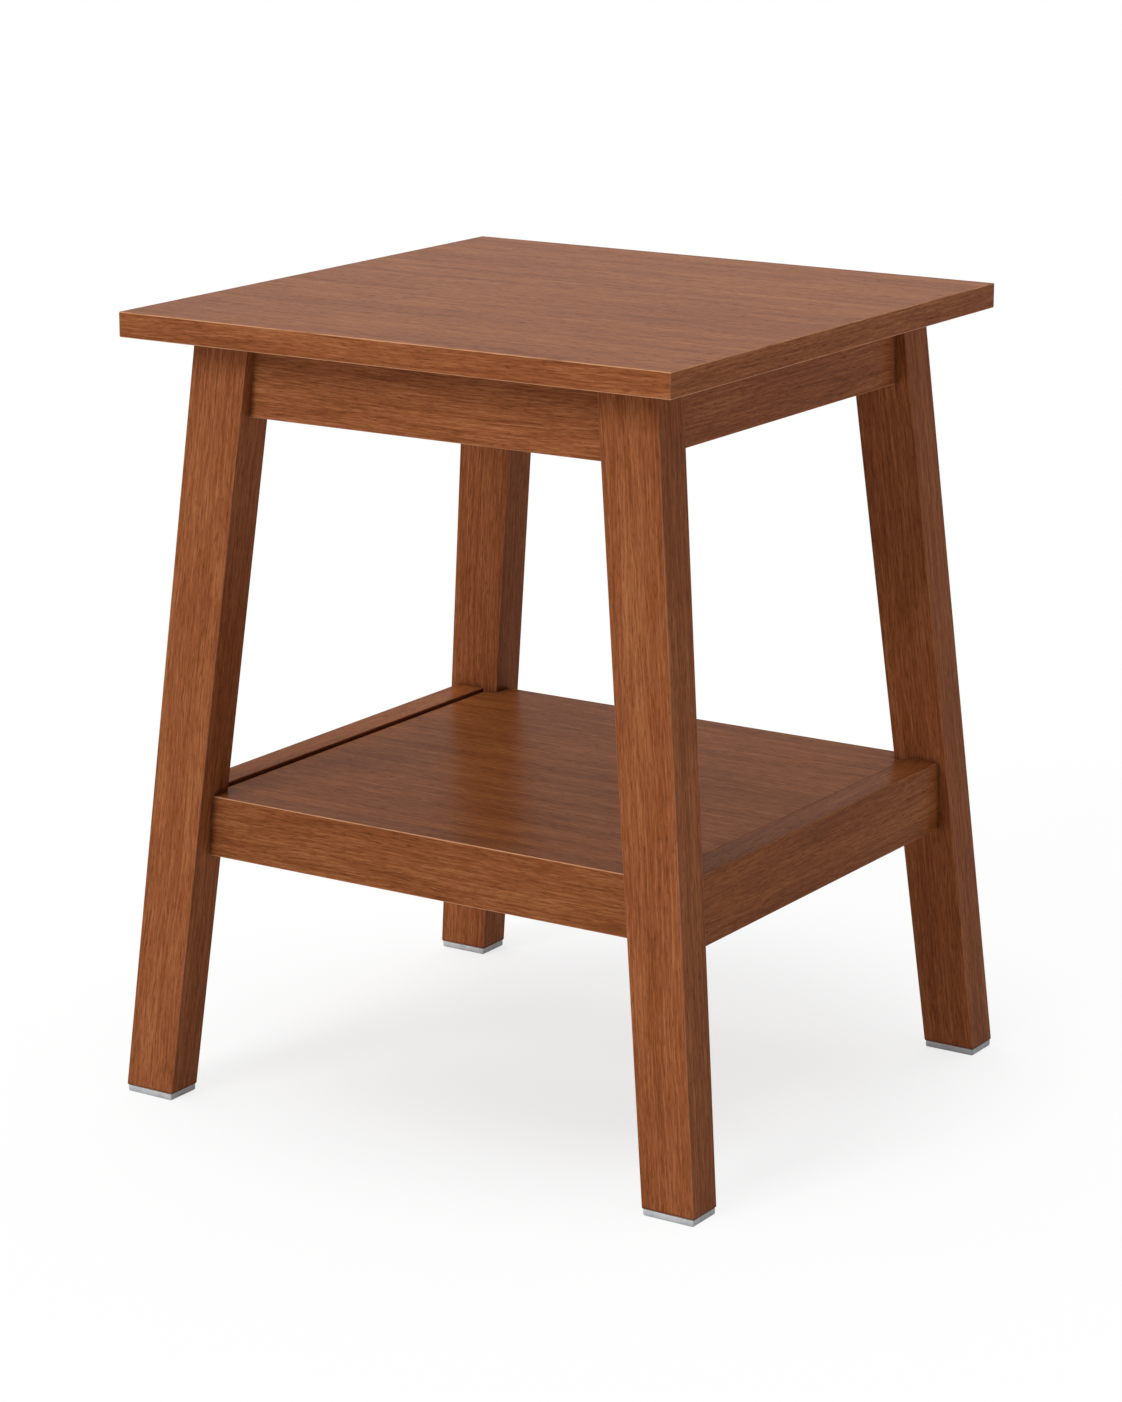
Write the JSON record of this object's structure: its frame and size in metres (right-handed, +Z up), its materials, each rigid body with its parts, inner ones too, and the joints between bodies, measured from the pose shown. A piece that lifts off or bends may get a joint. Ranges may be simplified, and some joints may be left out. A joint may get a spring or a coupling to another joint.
{
  "type": "end table",
  "caption": "Square wooden end table on splayed, tapered legs, with aprons under the top and a lower shelf set between rails.",
  "frame": {"origin": "on the floor, under the middle of the table top", "axes": "+Z up, -Y towards the front, +X to the right; the feet spread widest along X"},
  "size_m": [0.4868, 0.45, 0.58],
  "materials": {
    "veneered_board": "reddish-brown stained veneer under satin varnish, grain along X",
    "edge_band": "reddish-brown stained wood band under satin varnish",
    "leg_wood": "reddish-brown stained solid wood under satin varnish, grain along the leg",
    "rail_wood": "reddish-brown stained solid wood under satin varnish, grain along the rail",
    "cleat_wood": "stained solid wood, matt",
    "dowel_wood": "bare beech",
    "pad_plastic": "light grey moulded plastic, matt",
    "zinc_steel": "zinc-plated steel"
  },
  "bodies": {
    "root": {"table_top_panel": "veneered_board", "shelf_panel": "veneered_board", "top_edge_band_front": "edge_band", "top_edge_band_back": "edge_band", "top_edge_band_left": "edge_band", "top_edge_band_right": "edge_band", "leg_front_left": "leg_wood", "foot_pad_front_left": "pad_plastic", "corner_bracket_front_left": "zinc_steel", "leg_front_right": "leg_wood", "foot_pad_front_right": "pad_plastic", "corner_bracket_front_right": "zinc_steel", "leg_back_right": "leg_wood", "foot_pad_back_right": "pad_plastic", "corner_bracket_back_right": "zinc_steel", "leg_back_left": "leg_wood", "foot_pad_back_left": "pad_plastic", "corner_bracket_back_left": "zinc_steel", "apron_front": "rail_wood", "apron_back": "rail_wood", "apron_left": "rail_wood", "apron_right": "rail_wood", "shelf_rail_front": "rail_wood", "shelf_rail_back": "rail_wood", "side_rail_left": "rail_wood", "shelf_cleat_left": "cleat_wood", "side_rail_right": "rail_wood", "shelf_cleat_right": "cleat_wood", "apron_dowels": "dowel_wood", "shelf_rail_dowels": "dowel_wood", "side_rail_dowels": "dowel_wood", "hanger_bolts": "zinc_steel", "bolt_washers": "zinc_steel", "bolt_nuts": "zinc_steel", "bracket_screws": "zinc_steel", "top_screws": "zinc_steel", "cleat_screws": "zinc_steel", "shelf_screws": "zinc_steel"}
  },
  "joints": []
}
